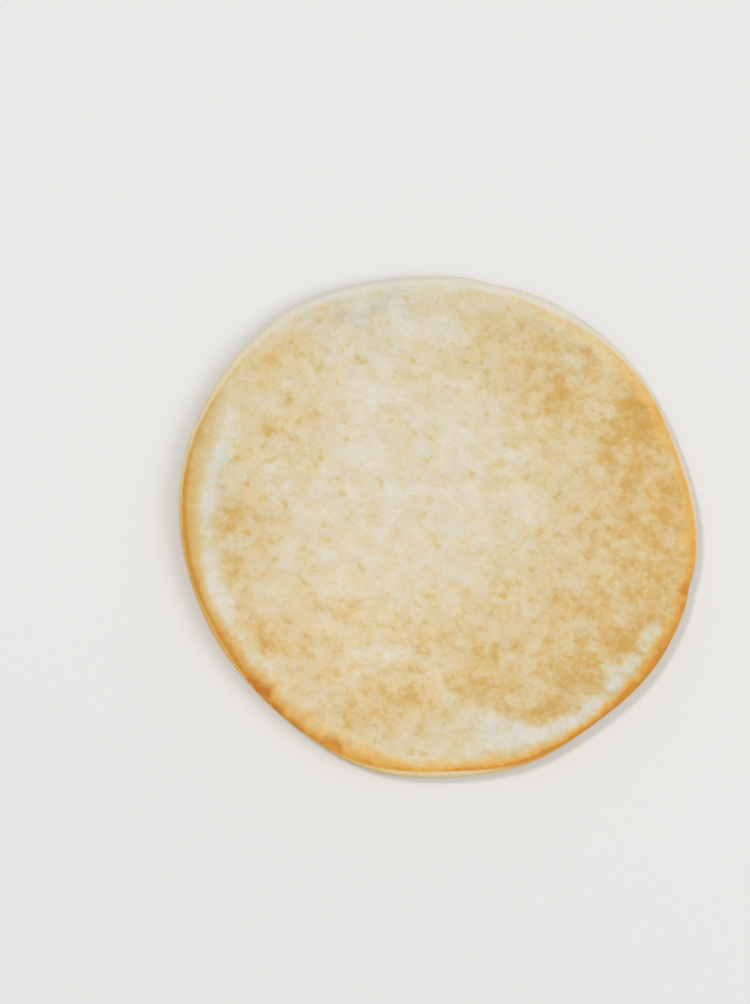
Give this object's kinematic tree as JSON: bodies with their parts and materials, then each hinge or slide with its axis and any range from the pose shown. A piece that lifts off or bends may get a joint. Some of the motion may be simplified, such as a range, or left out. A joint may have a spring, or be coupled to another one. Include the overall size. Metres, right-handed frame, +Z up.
{
  "type": "pita bread",
  "caption": "Round, flat pita bread: one uneven loaf with a pale side wall, a browned shoulder at its edge and a mottled golden face.",
  "frame": {"origin": "on the table under the middle of the loaf's footprint box", "axes": "+Z up out of the mottled face, +X across the loaf's longest width"},
  "size_m": [0.1698, 0.1646, 0.0075],
  "materials": {
    "crust": "matte baked wheat crust, cream with golden patches, orange-brown along the edge"
  },
  "bodies": {
    "root": {"pita_bread": "crust"}
  },
  "joints": []
}
